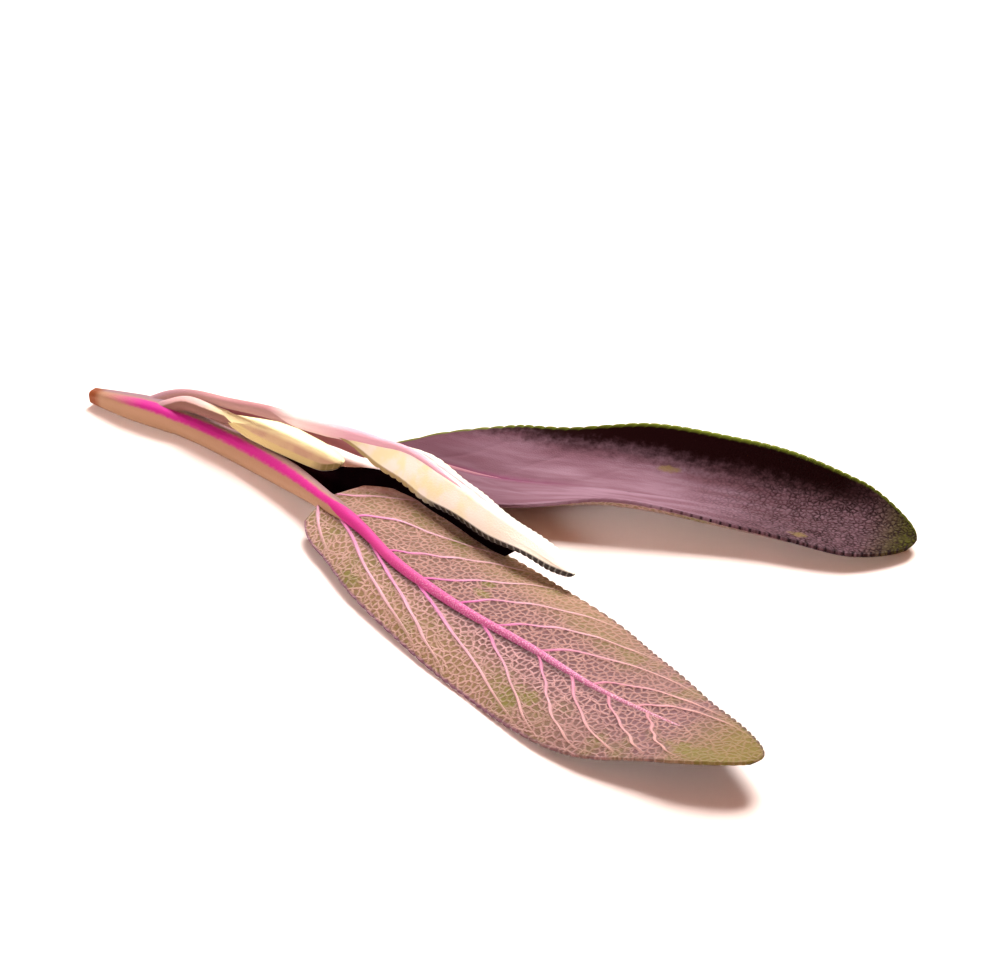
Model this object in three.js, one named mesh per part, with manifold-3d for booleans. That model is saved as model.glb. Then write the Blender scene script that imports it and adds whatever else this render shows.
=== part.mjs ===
// A cut sprig of purple sage lying on a table: a short stem and the four leaves that grow from its node.
// Millimetres, +Z up, the table is z = 0. Seen from the front (looking along +Y) the cut end is at the left.
//
// The front leaf lies with its underside up, so its midrib and side veins stand out as ridges.
// The back leaf lies with its upper side up, its far edge curled upright.
// The middle leaf is folded like a tent along its midrib, and a small young leaf lies beside its stalk.
import * as THREE from 'three';
import Module from 'manifold-3d';
import { mergeVertices } from 'three/addons/utils/BufferGeometryUtils.js';

const wasm = await Module();
wasm.setup();

// Where the middle of the sprig's footprint lies, so that it can be moved to the origin.
const FOOTPRINT_MIDDLE = [-1.0, -15.2];

const BLADE_THICKNESS = 0.7;
const TOOTH_HEIGHT = 0.32;
const STEPS_PER_TOOTH = 4;
const VEIN_SWEEP = 0.2; // how far a side vein runs forward, as a share of the blade's length
const LOBE_REACH = 0.12; // share of the length over which the rounded lobes at the base die out
const ROD_SIDES = 10;
const ROD_STEP = 1.9; // length of one step along a stalk or midrib
const ROD_TIP_GAP = 0.03; // share of the blade's length that the midrib stops short of the tip
const SECTION_STEPS = 16; // steps of the sum along a cross-section
const SPINE_SAMPLES = 400;
const FINEST = 0.01; // detail smaller than this is merged where the midrib meets the blade

const UP = new THREE.Vector3(0, 0, 1);
const rad = THREE.MathUtils.degToRad;

// What each leaf is. Points are the stalk's axis and then the blade's midrib, from the stem to the leaf's tip.
// near is the side towards the front, far is the other. A side's widths are its half-widths at equal steps along
// the blade, and baseRound and tipRound the shares of the length over which its ends are rounded off. A lobe is
// the share of the length that a side reaches back past the blade's start. veinShift sets its veins off.
// roll, lift and curl are degrees at the start, quarter, middle, three-quarter and end of the blade: roll tips
// the whole blade with its near side up, lift raises a side at the midrib and curl bends it further by its edge.
const LEAVES = [
  {
    name: 'leaf_front',
    stalk: [[-30.3, 10.1, 1.15], [-28.5, 8.8, 1.15], [-25.5, 6.2, 1.2], [-22.1, 2.7, 1.4], [-18.8, -1.4, 1.8]],
    midrib: [
      [-16.0, -5.6, 2.3], [-12.3, -11.2, 2.45], [-9.2, -16.4, 2.3], [-3.4, -23.2, 2.05],
      [2.5, -28.8, 1.85], [8.0, -34.8, 1.9], [13.3, -39.4, 2.1], [21.1, -45.9, 2.9],
    ],
    underside: 'up',
    rows: 50,
    columns: 5,
    teeth: 50,
    veins: 9.5,
    veinRelief: 0.22,
    netRelief: 0.07,
    stalkRadius: [1.15, 1.15, 1.1],
    midribRadius: [1.05, 0.82, 0.66, 0.5, 0.3],
    midribRise: 0.55,
    roll: [0, 0, 0, 0, 0],
    near: {
      widths: [3.9, 4.2, 4.8, 5.7, 6.9, 7.4, 7.1, 4.8, 3.3],
      lobe: 0.015,
      baseRound: 0.1,
      tipRound: 0.12,
      lift: [-25, -14, -8, -4, 5],
      curl: [0, -23, -23, -16, 10],
      wave: 0,
      veinShift: 0.5,
    },
    far: {
      widths: [7.6, 8.8, 9.4, 9.7, 9.1, 8.2, 6.7, 3.9, 2.4],
      lobe: 0.03,
      baseRound: 0.17,
      tipRound: 0.12,
      lift: [-2, -3, -1, -1, 0],
      curl: [0, -10, -10, -8, 0],
      wave: 0,
      veinShift: 0,
    },
    colour: 0xa9826e,
  },
  {
    name: 'leaf_back',
    stalk: [[-30.1, 13.9, 1.1], [-26.2, 12.4, 1.2], [-20.4, 9.4, 1.5], [-15.4, 6.4, 1.7]],
    midrib: [
      [-12.6, 4.6, 1.6], [-7.0, 2.6, 1.2], [0.2, -0.1, 0.9], [9.2, -1.4, 0.66],
      [18.4, -3.9, 0.68], [27.3, -6.9, 0.85], [37.7, -10.4, 0.9],
    ],
    underside: 'down',
    rows: 48,
    columns: 5,
    teeth: 48,
    veins: 9.5,
    veinRelief: 0.14,
    netRelief: 0.07,
    stalkRadius: [0.8, 0.75, 0.85],
    midribRadius: [0.85, 0.7, 0.56, 0.42, 0.3],
    midribRise: 0.3,
    roll: [0, 0, 0, 0, 0],
    near: {
      widths: [2.8, 4.4, 6.2, 6.8, 6.7, 6.0, 5.3, 5.1, 3.8],
      lobe: 0,
      baseRound: 0.1,
      tipRound: 0.12,
      lift: [3, 12, 18, 6, 0],
      curl: [0, -5, 25, 25, 0],
      wave: 0,
      veinShift: 0.5,
    },
    far: {
      widths: [3.2, 5.6, 6.5, 6.8, 8.3, 8.1, 7.4, 5.5, 3.4],
      lobe: 0,
      baseRound: 0.2,
      tipRound: 0.12,
      lift: [5, 8, 6, 8, 10],
      curl: [5, 24, 78, 92, 40],
      wave: 0,
      veinShift: 0,
    },
    colour: 0x86636f,
  },
  {
    name: 'leaf_middle',
    stalk: [[-29.9, 12.3, 3.0], [-25.4, 7.6, 4.8], [-21.8, 5.0, 5.5], [-18.6, 2.5, 5.9]],
    midrib: [
      [-15.6, 0.8, 6.0], [-11.0, -1.8, 6.1], [-8.4, -3.3, 6.1], [-5.0, -6.9, 5.7],
      [-1.6, -10.7, 5.1], [1.4, -13.8, 4.5], [4.4, -16.6, 3.6], [6.5, -18.9, 2.8],
    ],
    underside: 'up',
    rows: 30,
    columns: 3,
    teeth: 34,
    veins: 7.5,
    veinRelief: 0.08,
    netRelief: 0.04,
    stalkRadius: [0.6, 0.54, 0.72],
    midribRadius: [0.72, 0.48, 0.4, 0.32, 0.25],
    midribRise: 0.3,
    roll: [0, 0, 0, 0, 0],
    near: {
      widths: [0.4, 1.3, 2.4, 2.6, 2.2, 1.7, 1.1, 0.8, 0.6],
      lobe: 0,
      baseRound: 0.02,
      tipRound: 0.1,
      lift: [-50, -52, -54, -45, -20],
      curl: [0, -12, -12, -10, 0],
      wave: 0.15,
      veinShift: 0.5,
    },
    far: {
      widths: [0.5, 1.6, 2.8, 3.0, 2.7, 2.5, 2.3, 1.8, 1.0],
      lobe: 0,
      baseRound: 0.02,
      tipRound: 0.1,
      lift: [-33, -33, -33, -33, -20],
      curl: [0, 0, 0, 0, 0],
      wave: 0.1,
      veinShift: 0,
    },
    colour: 0xe9dcc0,
  },
  {
    name: 'leaf_small',
    stalk: [[-29.9, 10.6, 3.0], [-27.8, 8.7, 3.45]],
    midrib: [[-25.8, 7.0, 3.65], [-21.2, 3.8, 3.85], [-18.0, 1.5, 3.7], [-14.6, -0.9, 3.2]],
    underside: 'up',
    rows: 16,
    columns: 2,
    teeth: 16,
    veins: 4.5,
    veinRelief: 0.05,
    netRelief: 0,
    stalkRadius: [0.45, 0.42, 0.45],
    midribRadius: [0.45, 0.4, 0.36, 0.32, 0.28],
    midribRise: 0.15,
    roll: [0, 0, 0, 0, 0],
    near: {
      widths: [0.4, 0.7, 1.1, 1.2, 1.2, 1.2, 1.2, 1.1, 1.0],
      lobe: 0,
      baseRound: 0.1,
      tipRound: 0.15,
      lift: [-30, -34, -36, -42, -40],
      curl: [0, 0, 0, 0, 0],
      wave: 0,
      veinShift: 0.5,
    },
    far: {
      widths: [0.5, 0.9, 1.4, 1.8, 1.9, 1.8, 1.8, 1.8, 1.5],
      lobe: 0,
      baseRound: 0.1,
      tipRound: 0.15,
      lift: [-5, -5, -5, -10, -20],
      curl: [0, 0, 0, 0, 0],
      wave: 0,
      veinShift: 0,
    },
    colour: 0xe6d6a8,
  },
];

const STEM = {
  axis: [
    [-39.4, 15.9, 0.85], [-38.9, 15.5, 1.0], [-36.7, 13.9, 1.2], [-35.1, 12.9, 1.35],
    [-33.6, 12.0, 1.55], [-32.3, 11.7, 1.75], [-31.2, 11.8, 1.9], [-30.8, 11.8, 1.9],
  ],
  radii: [0.7, 1.0, 1.2, 1.35, 1.55, 1.75, 1.85, 1.5],
  squareness: 0.08, // how far its four corners stand out, as a share of the radius
  rings: 16,
  sides: 16,
  colour: 0xc08a72,
};

// A smooth curve through equally spaced values, read at t from 0 to 1.
function valueAt(values, t) {
  const place = THREE.MathUtils.clamp(t, 0, 1) * (values.length - 1);
  const i = Math.min(Math.floor(place), values.length - 2);
  const at = (k) => values[THREE.MathUtils.clamp(k, 0, values.length - 1)];
  const [a, b, c, d] = [at(i - 1), at(i), at(i + 1), at(i + 2)];
  const s = place - i;
  return b + 0.5 * s * (c - a + s * (2 * a - 5 * b + 4 * c - d + s * (3 * (b - c) + d - a)));
}

// The factor that rounds off an end like a quarter circle over a given share of the length.
function roundEnd(distance, share) {
  return Math.sqrt(1 - (1 - THREE.MathUtils.clamp(distance / share, 0, 1)) ** 2);
}

// A stretch of a smooth curve, read by its share of length, with the directions across it.
class Spine {
  constructor(curve, from, to) {
    this.points = [];
    this.lengths = [0];
    for (let i = 0; i <= SPINE_SAMPLES; i++) {
      this.points.push(curve.getPoint(from + ((to - from) * i) / SPINE_SAMPLES));
      if (i > 0) this.lengths.push(this.lengths[i - 1] + this.points[i].distanceTo(this.points[i - 1]));
    }
    this.length = this.lengths[SPINE_SAMPLES];
  }

  point(t) {
    const wanted = THREE.MathUtils.clamp(t, 0, 1) * this.length;
    let i = 1;
    while (i < SPINE_SAMPLES && this.lengths[i] < wanted) i++;
    const share = (wanted - this.lengths[i - 1]) / (this.lengths[i] - this.lengths[i - 1]);
    return this.points[i - 1].clone().lerp(this.points[i], share);
  }

  // The point, the direction of travel, the near side's direction and the upward normal.
  frame(t, roll = 0) {
    const step = 0.01;
    const ahead = this.point(Math.min(t + step, 1)).sub(this.point(Math.max(t - step, 0))).normalize();
    const side = ahead.clone().cross(UP).normalize().applyAxisAngle(ahead, -rad(roll));
    return { point: this.point(t), ahead, side, normal: side.clone().cross(ahead) };
  }
}

// A closed mesh from points and triangles.
function geometryOf(points, triangles) {
  const geometry = new THREE.BufferGeometry().setFromPoints(points);
  geometry.setIndex(triangles.flat());
  return geometry;
}

// A rod that follows a spine: a cylinder whose rings are moved on to it. offset(t) shifts its middle along the normal.
function rodGeometry(spine, sides, rings, radiusAt, offsetAt = () => 0, squareness = 0) {
  const rod = new THREE.CylinderGeometry(1, 1, 1, sides, rings);
  const places = rod.getAttribute('position');
  for (let i = 0; i < places.count; i++) {
    const t = THREE.MathUtils.clamp(places.getY(i) + 0.5, 0, 1);
    const { point, side, normal } = spine.frame(t);
    const turn = Math.atan2(places.getZ(i), places.getX(i));
    const across = Math.hypot(places.getX(i), places.getZ(i));
    const radius = radiusAt(t) * across * (1 - squareness * Math.cos(4 * turn));
    point.addScaledVector(side, radius * Math.cos(turn));
    point.addScaledVector(normal, radius * Math.sin(turn) + offsetAt(t));
    places.setXYZ(i, point.x, point.y, point.z);
  }
  return rod;
}

// What dips under the table is pressed flat on it.
function settle(geometry) {
  const places = geometry.getAttribute('position');
  for (let i = 0; i < places.count; i++) places.setZ(i, Math.max(places.getZ(i), 0));
  return geometry;
}

function solidOf(geometry) {
  const plain = geometry.clone();
  plain.deleteAttribute('normal');
  plain.deleteAttribute('uv');
  const merged = mergeVertices(plain, 1e-4);
  const mesh = new wasm.Mesh({
    numProp: 3,
    vertProperties: new Float32Array(merged.getAttribute('position').array),
    triVerts: new Uint32Array(merged.index.array),
  });
  const solid = new wasm.Manifold(mesh);
  if (solid.volume() > 0) return solid;
  for (let i = 0; i < mesh.triVerts.length; i += 3) {
    [mesh.triVerts[i + 1], mesh.triVerts[i + 2]] = [mesh.triVerts[i + 2], mesh.triVerts[i + 1]];
  }
  return new wasm.Manifold(mesh);
}

function meshOf(solid, name, colour) {
  const { vertProperties, triVerts } = solid.getMesh();
  const geometry = new THREE.BufferGeometry();
  geometry.setAttribute('position', new THREE.BufferAttribute(vertProperties, 3));
  geometry.setIndex(new THREE.BufferAttribute(triVerts, 1));
  geometry.computeVertexNormals();
  const material = new THREE.MeshStandardMaterial({ color: colour, roughness: 0.8, metalness: 0, flatShading: true });
  const mesh = new THREE.Mesh(geometry, material);
  mesh.name = name;
  return mesh;
}

class Leaf {
  constructor(spec) {
    Object.assign(this, spec);
    const points = [...this.stalk, ...this.midrib].map((p) => new THREE.Vector3(...p));
    const curve = new THREE.CatmullRomCurve3(points);
    const bladeStart = this.stalk.length / (points.length - 1);
    this.stalkSpine = new Spine(curve, 0, bladeStart);
    this.bladeSpine = new Spine(curve, bladeStart, 1);
    this.wholeSpine = new Spine(curve, 0, 1);
    this.bladeFrom = this.stalkSpine.length / this.wholeSpine.length;
    this.outward = this.underside === 'up' ? 1 : -1; // the way that the underside faces, along the normal
  }

  // The share of the blade's length at a row's start on the midrib. Rows crowd a little at both ends.
  rowStart(row) {
    return 0.6 * row + 0.2 * (1 - Math.cos(Math.PI * row));
  }

  // A row leaves the midrib and runs forward to the edge, as a side vein does.
  along(side, row, across) {
    const start = this.rowStart(row);
    const forward = VEIN_SWEEP * across ** 1.2 * Math.sin(Math.PI * Math.sqrt(start)) * (1 - start) ** 0.35;
    return start + forward - this[side].lobe * across ** 2 * Math.max(1 - start / LOBE_REACH, 0) ** 2;
  }

  halfWidth(side, t) {
    const { widths, lobe, baseRound, tipRound } = this[side];
    return valueAt(widths, t) * roundEnd(t + lobe, baseRound) * roundEnd(1 - t, tipRound);
  }

  tooth(row) {
    return TOOTH_HEIGHT * Math.sqrt(Math.abs(Math.sin(Math.PI * this.teeth * row))) * Math.min(1, 8 * row * (1 - row) + 0.2);
  }

  // How far the surface stands out on the underside: side veins as ridges, and the net between them.
  relief(side, row, across, rowNumber, column) {
    const vein = 0.5 + 0.5 * Math.cos(2 * Math.PI * (this.veins * row + this[side].veinShift));
    const checker = (rowNumber + column) % 2 === 0 ? 1 : -1;
    const inside = Math.sin(Math.PI * Math.min(across, 0.98)) ** 0.5;
    return this.veinRelief * (1 - 0.6 * across) * (vein - 0.5) * inside + this.netRelief * checker * inside;
  }

  // A place on the blade, and the direction square to it there.
  surface(side, t, across, reach) {
    const { point, ahead, side: near, normal } = this.bladeSpine.frame(t, valueAt(this.roll, t));
    point.addScaledVector(ahead, Math.min(t, 0) * this.bladeSpine.length);
    const { lift, curl, wave } = this[side];
    const [start, bend] = [rad(valueAt(lift, t)), rad(valueAt(curl, t))];
    let [out, up] = [0, 0];
    for (let i = 0; i < SECTION_STEPS; i++) {
      const angle = start + bend * (((i + 0.5) / SECTION_STEPS) * across) ** 2;
      out += (Math.cos(angle) * reach) / SECTION_STEPS;
      up += (Math.sin(angle) * reach) / SECTION_STEPS;
    }
    up += wave * across ** 2 * Math.sin(2 * Math.PI * 4 * t);
    const outwards = side === 'near' ? 1 : -1;
    const slope = across === 0 ? 0 : start + bend * across ** 2;
    return {
      place: point.addScaledVector(near, outwards * out).addScaledVector(normal, up),
      square: normal.clone().multiplyScalar(Math.cos(slope)).addScaledVector(near, -outwards * Math.sin(slope)),
    };
  }

  // One thin sheet, built as two faces split into triangles alike and a wall round the toothed edge.
  bladeGeometry() {
    const upper = [];
    const lower = [];
    const faces = [];
    const add = (side, t, across, reach, relief) => {
      const { place, square } = this.surface(side, t, across, reach);
      place.addScaledVector(square, this.outward * relief);
      upper.push(place.clone().addScaledVector(square, BLADE_THICKNESS / 2));
      lower.push(place.clone().addScaledVector(square, -BLADE_THICKNESS / 2));
      return upper.length - 1;
    };
    const middle = [];
    for (let j = 0; j <= this.rows; j++) middle.push(add('near', this.rowStart(j / this.rows), 0, 0, 0));
    const borders = {};
    for (const side of ['near', 'far']) {
      const edge = [middle[0]];
      const steps = this.rows * STEPS_PER_TOOTH;
      for (let i = 1; i < steps; i++) {
        const row = i / steps;
        const t = this.along(side, row, 1);
        edge.push(add(side, t, 1, this.halfWidth(side, t) + this.tooth((row * this.rows) / this.teeth), 0));
      }
      edge.push(middle[this.rows]);
      const grid = middle.map((index, j) => {
        const ends = j === 0 || j === this.rows;
        const line = [index];
        for (let k = 1; k < this.columns; k++) {
          const [row, across] = [j / this.rows, k / this.columns];
          const t = this.along(side, row, across);
          const relief = this.relief(side, row, across, j, k);
          line.push(ends ? index : add(side, t, across, this.halfWidth(side, t) * across, relief));
        }
        return line;
      });
      const turned = side === 'near';
      const face = (a, b, c) => {
        if (a !== b && b !== c && a !== c) faces.push(turned ? [a, c, b] : [a, b, c]);
      };
      for (let j = 0; j < this.rows; j++) {
        for (let k = 0; k < this.columns - 1; k++) {
          face(grid[j][k], grid[j + 1][k], grid[j + 1][k + 1]);
          face(grid[j][k], grid[j + 1][k + 1], grid[j][k + 1]);
        }
        const [a, b] = [grid[j][this.columns - 1], grid[j + 1][this.columns - 1]];
        const first = j * STEPS_PER_TOOTH;
        const half = first + STEPS_PER_TOOTH / 2;
        for (let i = first; i < half; i++) face(a, edge[i + 1], edge[i]);
        face(a, b, edge[half]);
        for (let i = half; i < first + STEPS_PER_TOOTH; i++) face(b, edge[i + 1], edge[i]);
      }
      borders[side] = edge;
    }
    const below = upper.length;
    const triangles = faces.flatMap(([a, b, c]) => [[a, b, c], [below + a, below + c, below + b]]);
    for (const side of ['near', 'far']) {
      borders[side].slice(1).forEach((b, i) => {
        const [p, q] = side === 'near' ? [borders[side][i], b] : [b, borders[side][i]];
        triangles.push([p, below + p, below + q], [p, below + q, q]);
      });
    }
    return settle(geometryOf([...upper, ...lower], triangles));
  }

  // The stalk and the midrib are one tapering rod, which stands out on the underside of the blade.
  rodGeometry() {
    const reach = this.bladeFrom + (1 - this.bladeFrom) * (1 - ROD_TIP_GAP);
    const bladeShare = (t) => Math.max((t * reach - this.bladeFrom) / (1 - this.bladeFrom), 0);
    const radiusAt = (t) =>
      t * reach < this.bladeFrom
        ? valueAt(this.stalkRadius, (t * reach) / this.bladeFrom)
        : valueAt(this.midribRadius, bladeShare(t));
    const offsetAt = (t) => this.outward * this.midribRise * radiusAt(t) * Math.min(1, 8 * bladeShare(t));
    const rings = Math.round((this.wholeSpine.length * reach) / ROD_STEP);
    const line = { frame: (t) => this.wholeSpine.frame(t * reach) };
    return settle(rodGeometry(line, ROD_SIDES, rings, radiusAt, offsetAt));
  }

  mesh() {
    const solid = solidOf(this.bladeGeometry()).add(solidOf(this.rodGeometry()));
    return meshOf(solid.simplify(FINEST), this.name, this.colour);
  }
}

// The stem is cut at its thin end and swells to the node that the leaf stalks grow from.
function stemMesh() {
  const spine = new Spine(new THREE.CatmullRomCurve3(STEM.axis.map((p) => new THREE.Vector3(...p))), 0, 1);
  const rod = rodGeometry(spine, STEM.sides, STEM.rings, (t) => valueAt(STEM.radii, t), () => 0, STEM.squareness);
  return meshOf(solidOf(settle(rod)), 'stem', STEM.colour);
}

const sprig = new THREE.Group();
sprig.add(stemMesh(), ...LEAVES.map((spec) => new Leaf(spec).mesh()));
sprig.position.set(-FOOTPRINT_MIDDLE[0], -FOOTPRINT_MIDDLE[1], 0);

export default sprig;
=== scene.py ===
"""A cut sprig of purple sage on a pale table: its short stem and the four leaves that grow from the node."""
import logging
import math
from abc import ABC, abstractmethod
from dataclasses import dataclass
from enum import Enum
from functools import partial
from typing import Any, Callable, Sequence

import bpy
import numpy as np
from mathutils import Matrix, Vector


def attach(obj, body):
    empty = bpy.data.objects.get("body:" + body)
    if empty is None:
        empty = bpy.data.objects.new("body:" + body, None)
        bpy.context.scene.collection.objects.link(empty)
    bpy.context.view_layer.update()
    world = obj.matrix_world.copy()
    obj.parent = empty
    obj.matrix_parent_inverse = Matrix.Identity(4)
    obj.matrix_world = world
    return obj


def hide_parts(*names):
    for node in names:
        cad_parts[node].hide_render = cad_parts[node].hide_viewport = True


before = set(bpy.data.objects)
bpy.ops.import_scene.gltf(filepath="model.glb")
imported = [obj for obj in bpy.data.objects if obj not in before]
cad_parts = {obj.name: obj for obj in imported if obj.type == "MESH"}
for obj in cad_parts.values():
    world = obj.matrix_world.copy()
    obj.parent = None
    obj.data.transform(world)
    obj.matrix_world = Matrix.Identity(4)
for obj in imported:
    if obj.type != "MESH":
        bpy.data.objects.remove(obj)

LOG = logging.getLogger("sage_sprig")
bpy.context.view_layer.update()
MM = 0.001
FOOTPRINT_MIDDLE = np.array([-1.0, -15.2, 0.0])
SPINE_SAMPLES = 400
SECTION_STEPS = 16
CUT_RINGS = (0.1, 0.25, 0.25, 0.2)
BLACK, WHITE = "#000000", "#ffffff"

# Shares of a blade's length: the lobe behind its base, how far its rows sweep forward (with the bends of that curve
# across and along), the gap beyond the last vein, and the long and the short waver of a vein. Then the waves in a
# free rim, and the distance, in vein widths, that stands for no vein at all.
LOBE_REACH = 0.12
VEIN_SWEEP = 0.2
SWEEP_BENDS = (1.2, 0.35)
OUTER_VEIN_GAP = 0.25
VEIN_WAVER = (0.004, 0.0022)
RIM_WAVES = 4
CLEAR_OF_VEINS = 9.0

Points = tuple[tuple[float, float, float], ...]
Spots = tuple[tuple[float, float, float, float], ...]
Stops = tuple[tuple[float, str], ...]
Array = np.ndarray
Piece = bpy.types.Object
Paint = bpy.types.Material
Tree = bpy.types.NodeTree
Socket = bpy.types.NodeSocket

# Settings of the nodes that are used again and again.
SMOOTH = {"interpolation_type": "SMOOTHSTEP"}
TIMES = {"operation": "MULTIPLY"}
TIMES_PLUS = {"operation": "MULTIPLY_ADD"}
EDGES = {"feature": "DISTANCE_TO_EDGE", "voronoi_dimensions": "2D"}


class Side(Enum):
    """The two halves of a blade, with the way that each runs from the midrib."""

    NEAR = 1
    FAR = -1


class Lies(Enum):
    """Which side of a leaf faces up, with the way that its veins stand out along the upward normal."""

    UNDERSIDE_UP = 1
    UPPER_SIDE_UP = -1


# ---- Small helpers ----


def linear(code: str) -> tuple[float, float, float, float]:
    """Turns an sRGB colour into the linear values that a shader takes.

    Args:
        code: The colour as #rrggbb.

    Returns:
        Red, green, blue and an alpha of one.
    """
    shares = [int(code[i : i + 2], 16) / 255 for i in (1, 3, 5)]
    red, green, blue = (c / 12.92 if c <= 0.04045 else ((c + 0.055) / 1.055) ** 2.4 for c in shares)
    return red, green, blue, 1.0


def add_node(
    tree: Tree,
    kind: str,
    inputs: dict[str | int, Any] | Sequence[Any] = (),
    out: str | int = 0,
    stops: Stops = (),
    **settings: Any,
) -> Socket:
    """Adds one node with its settings, its input values or links, and its colour stops.

    Args:
        tree: The node tree it goes into.
        kind: The node's type name, after "ShaderNode".
        inputs: A value or an output socket for each input, in the node's order or by name or number.
        out: The output that is wanted, by name or number.
        stops: Places and #rrggbb colours for a colour ramp.
        **settings: Properties set on the node.

    Returns:
        That output of the new node.
    """
    node = tree.nodes.new(f"ShaderNode{kind}")
    for name, value in settings.items():
        setattr(node, name, value)
    for key, value in inputs.items() if isinstance(inputs, dict) else enumerate(inputs):
        if isinstance(value, Socket):
            tree.links.new(value, node.inputs[key])
        else:
            node.inputs[key].default_value = value
    if stops:
        elements = node.color_ramp.elements
        for place, _ in stops[2:]:
            elements.new(place)
        for element, (place, code) in zip(elements, stops):
            element.position = place
            element.color = linear(code)
    return node.outputs[out]


def layered(tree: Tree, base: str | Socket, layers: Sequence[tuple[Any, ...]]) -> Socket:
    """Lays colours over one another.

    Args:
        tree: The node tree they go into.
        base: The lowest colour, as #rrggbb or a socket.
        layers: Each colour, followed by the shares whose product says how far it covers.

    Returns:
        The colour of them all together.
    """
    under = linear(base) if isinstance(base, str) else base
    for colour, share, *others in layers:
        for other in others:
            share = add_node(tree, "Math", (share, other), **TIMES)
        over = linear(colour) if isinstance(colour, str) else colour
        under = add_node(tree, "Mix", {0: share, 6: under, 7: over}, out=2, data_type="RGBA")
    return under


def spot_share(tree: Tree, flat: Socket, spots: Spots) -> Socket:
    """Builds the nodes for a few ragged spots on a flattened leaf.

    Args:
        tree: The node tree they go into.
        flat: The flattened place in millimetres.
        spots: Each spot's middle along and across, and its half-length and half-width, in millimetres.

    Returns:
        The share of the spots' colour, 0 to 1.
    """
    node = partial(add_node, tree)
    ragged = node("TexNoise", {"Vector": flat, "Scale": 1.4, "Detail": 3.0})
    total = 0.0
    for along, across, long, wide in spots:
        away = node("VectorMath", (flat, (along, across, 0.0)), operation="SUBTRACT")
        away = node("VectorMath", (away, (1 / long, 1 / wide, 1.0)), **TIMES)
        away = node("VectorMath", (away,), out="Value", operation="LENGTH")
        share = node("MapRange", (node("Math", (ragged, 1.6, away), **TIMES_PLUS), 1.1, 1.9, 1.0, 0.0), **SMOOTH)
        total = node("Math", (total, share), operation="MAXIMUM")
    return total


def start_material(name: str, values: dict[str, Any]) -> tuple[Paint, bpy.types.Node]:
    """Adds a material and sets what is the same all over it on its shader's own sockets.

    Args:
        name: Its name.
        values: The values by the sockets' names.

    Returns:
        The material and its shader.
    """
    paint = bpy.data.materials.new(name)
    paint.use_nodes = True
    shader = paint.node_tree.nodes["Principled BSDF"]
    for socket, value in values.items():
        shader.inputs[socket].default_value = value
    return paint, shader


def value_at(values: Sequence[float], t: Array) -> Array:
    """Reads a smooth curve through equally spaced values.

    Args:
        values: The values, the first at 0 and the last at 1.
        t: Where it is read.

    Returns:
        The curve's values there.
    """
    known = np.asarray(values, float)
    last = len(known) - 1
    place = np.clip(t, 0, 1) * last
    i = np.minimum(np.floor(place).astype(int), last - 1)
    a, b, c, d = (known[np.clip(i + k, 0, last)] for k in (-1, 0, 1, 2))
    s = place - i
    return b + 0.5 * s * (c - a + s * (2 * a - 5 * b + 4 * c - d + s * (3 * (b - c) + d - a)))


def round_end(distance: Array, share: float) -> Array:
    """Rounds off an end like a quarter circle.

    Args:
        distance: How far from the end.
        share: How far in the rounding reaches.

    Returns:
        The factor for the width, 0 at the end and 1 from there on.
    """
    return np.sqrt(1 - (1 - np.clip(distance / share, 0, 1)) ** 2)


def fade(value: Array, start: float, stop: float) -> Array:
    """Rises smoothly from 0 to 1.

    Args:
        value: Where it is read.
        start: Where it is 0.
        stop: Where it is 1.

    Returns:
        The rise there.
    """
    share = np.clip((value - start) / (stop - start), 0, 1)
    return share * share * (3 - 2 * share)


def start_piece(name: str, add: Callable[..., Any], **settings: Any) -> Piece:
    """Adds a primitive with nothing else selected.

    Args:
        name: The piece's name.
        add: The operator that adds the primitive.
        **settings: The operator's settings.

    Returns:
        The new object, which is the active one.
    """
    bpy.ops.object.select_all(action="DESELECT")
    add(**settings)
    piece = bpy.context.object
    piece.name = name
    piece.data.name = name
    return piece


def points_of(piece: Piece) -> Array:
    """Reads a piece's points.

    Args:
        piece: The piece.

    Returns:
        A row of three numbers for each point, in metres.
    """
    flat = np.empty(len(piece.data.vertices) * 3)
    piece.data.vertices.foreach_get("co", flat)
    return flat.reshape(-1, 3)


def move_points(piece: Piece, points: Array) -> None:
    """Puts a piece's points at new places.

    Args:
        piece: The piece.
        points: A row for each point, in metres.
    """
    piece.data.vertices.foreach_set("co", points.ravel())
    piece.data.update()


def note(piece: Piece, **notes: Array) -> None:
    """Stores numbers or vectors for each point of a piece.

    Args:
        piece: The piece.
        **notes: For each attribute, by the name that its material reads, a number or three for each point.
    """
    for name, values in notes.items():
        kind, key = ("FLOAT", "value") if values.ndim == 1 else ("FLOAT_VECTOR", "vector")
        attribute = piece.data.attributes.new(name, kind, "POINT")
        attribute.data.foreach_set(key, values.astype(np.float32).ravel())


def read_note(piece: Piece, name: str) -> Array:
    """Takes a piece's stored numbers or vectors back off it.

    Args:
        piece: The piece.
        name: The attribute's name.

    Returns:
        A row for each point, of one number or three.
    """
    attribute = piece.data.attributes[name]
    width, key = (1, "value") if attribute.data_type == "FLOAT" else (3, "vector")
    values = np.empty(len(piece.data.vertices) * width, np.float32)
    attribute.data.foreach_get(key, values)
    piece.data.attributes.remove(attribute)
    return values.reshape(-1, width).astype(float)


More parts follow.
